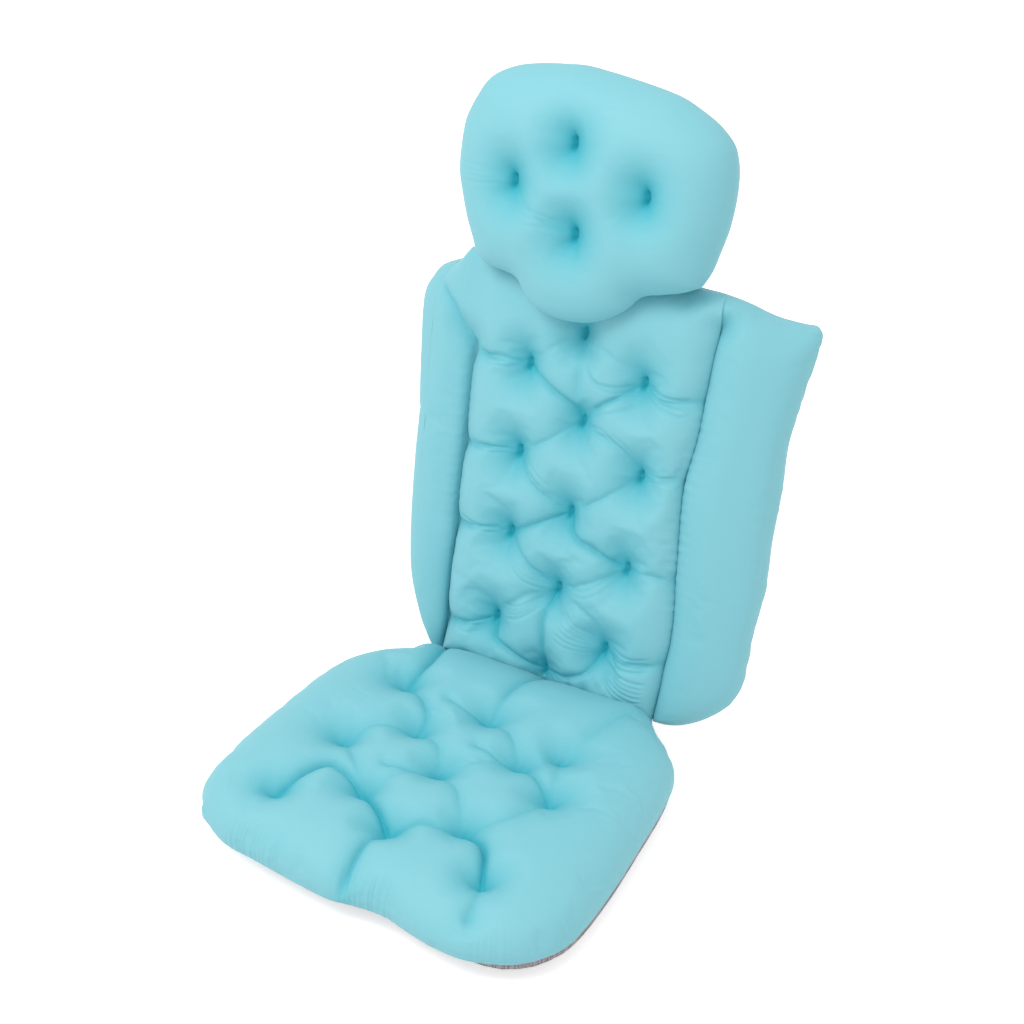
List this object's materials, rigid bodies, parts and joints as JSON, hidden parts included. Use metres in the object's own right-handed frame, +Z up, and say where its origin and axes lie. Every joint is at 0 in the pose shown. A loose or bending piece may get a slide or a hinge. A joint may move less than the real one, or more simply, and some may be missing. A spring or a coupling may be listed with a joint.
{
  "type": "bath pillow",
  "caption": "Tufted full-length bath pillow: a seat pad, a reclined back panel with a folding bolster at each side, and a thick head pillow, held by suction cups.",
  "frame": {"origin": "on the floor plane that the seat's suction cups stand on, under the middle of the whole pillow's box", "axes": "+Z up, -Y towards the seat's front edge, +X to the right of someone who looks at the pillow from its front"},
  "size_m": [0.5064, 0.6718, 0.7867],
  "materials": {
    "stretch_cloth": "smooth four-way stretch knit with a soft sheen",
    "fibre": "lofty white polyester fibre",
    "air_mesh": "grey three-layer air mesh",
    "clear_vinyl": "clear soft vinyl",
    "webbing": "flat woven tape",
    "seam_cloth": "rolled seam of the stretch knit"
  },
  "bodies": {
    "seat": {"seat_cover": "stretch_cloth", "seat_filling": "fibre", "seat_backing": "air_mesh", "seat_cup_1": "clear_vinyl", "seat_cup_2": "clear_vinyl", "seat_cup_3": "clear_vinyl", "seat_cup_4": "clear_vinyl", "seat_cup_5": "clear_vinyl", "seat_cup_6": "clear_vinyl", "seat_patch_1": "webbing", "seat_patch_2": "webbing", "seat_patch_3": "webbing", "seat_patch_4": "webbing", "seat_patch_5": "webbing", "seat_patch_6": "webbing", "back_fold_seam": "seam_cloth"},
    "back": {"back_cover": "stretch_cloth", "back_filling": "fibre", "back_backing": "air_mesh", "back_cup_1": "clear_vinyl", "back_cup_2": "clear_vinyl", "back_cup_3": "clear_vinyl", "back_cup_4": "clear_vinyl", "back_cup_5": "clear_vinyl", "back_cup_6": "clear_vinyl", "back_patch_1": "webbing", "back_patch_2": "webbing", "back_patch_3": "webbing", "back_patch_4": "webbing", "back_patch_5": "webbing", "back_patch_6": "webbing", "left_wing_seam": "seam_cloth", "right_wing_seam": "seam_cloth", "head_fold_seam": "seam_cloth"},
    "left_wing": {"left_wing_cover": "stretch_cloth", "left_wing_filling": "fibre", "left_wing_backing": "air_mesh"},
    "right_wing": {"right_wing_cover": "stretch_cloth", "right_wing_filling": "fibre", "right_wing_backing": "air_mesh"},
    "head": {"head_cover": "stretch_cloth", "head_filling": "fibre", "head_backing": "air_mesh", "head_cup_1": "clear_vinyl", "head_cup_2": "clear_vinyl", "head_cup_3": "clear_vinyl", "head_cup_4": "clear_vinyl", "head_patch_1": "webbing", "head_patch_2": "webbing", "head_patch_3": "webbing", "head_patch_4": "webbing", "hanging_loop": "webbing"}
  },
  "joints": [
    {"name": "back_fold", "type": "hinge", "parent": "seat", "child": "back", "pos_m": [0, 0.13209, 0.03], "axis": [1, 0, 0], "range_deg": [-75.4, 24]},
    {"name": "head_fold", "type": "hinge", "parent": "back", "child": "head", "pos_m": [0, 0.26872, 0.5545], "axis": [1, 0, 0], "range_deg": [-95, 8]},
    {"name": "left_wing_fold", "type": "hinge", "parent": "back", "child": "left_wing", "pos_m": [-0.151, 0.2004, 0.29225], "axis": [0, -0.2521, -0.9677], "range_deg": [-55, 45]},
    {"name": "right_wing_fold", "type": "hinge", "parent": "back", "child": "right_wing", "pos_m": [0.151, 0.2004, 0.29225], "axis": [0, 0.2521, 0.9677], "range_deg": [-55, 45]}
  ]
}
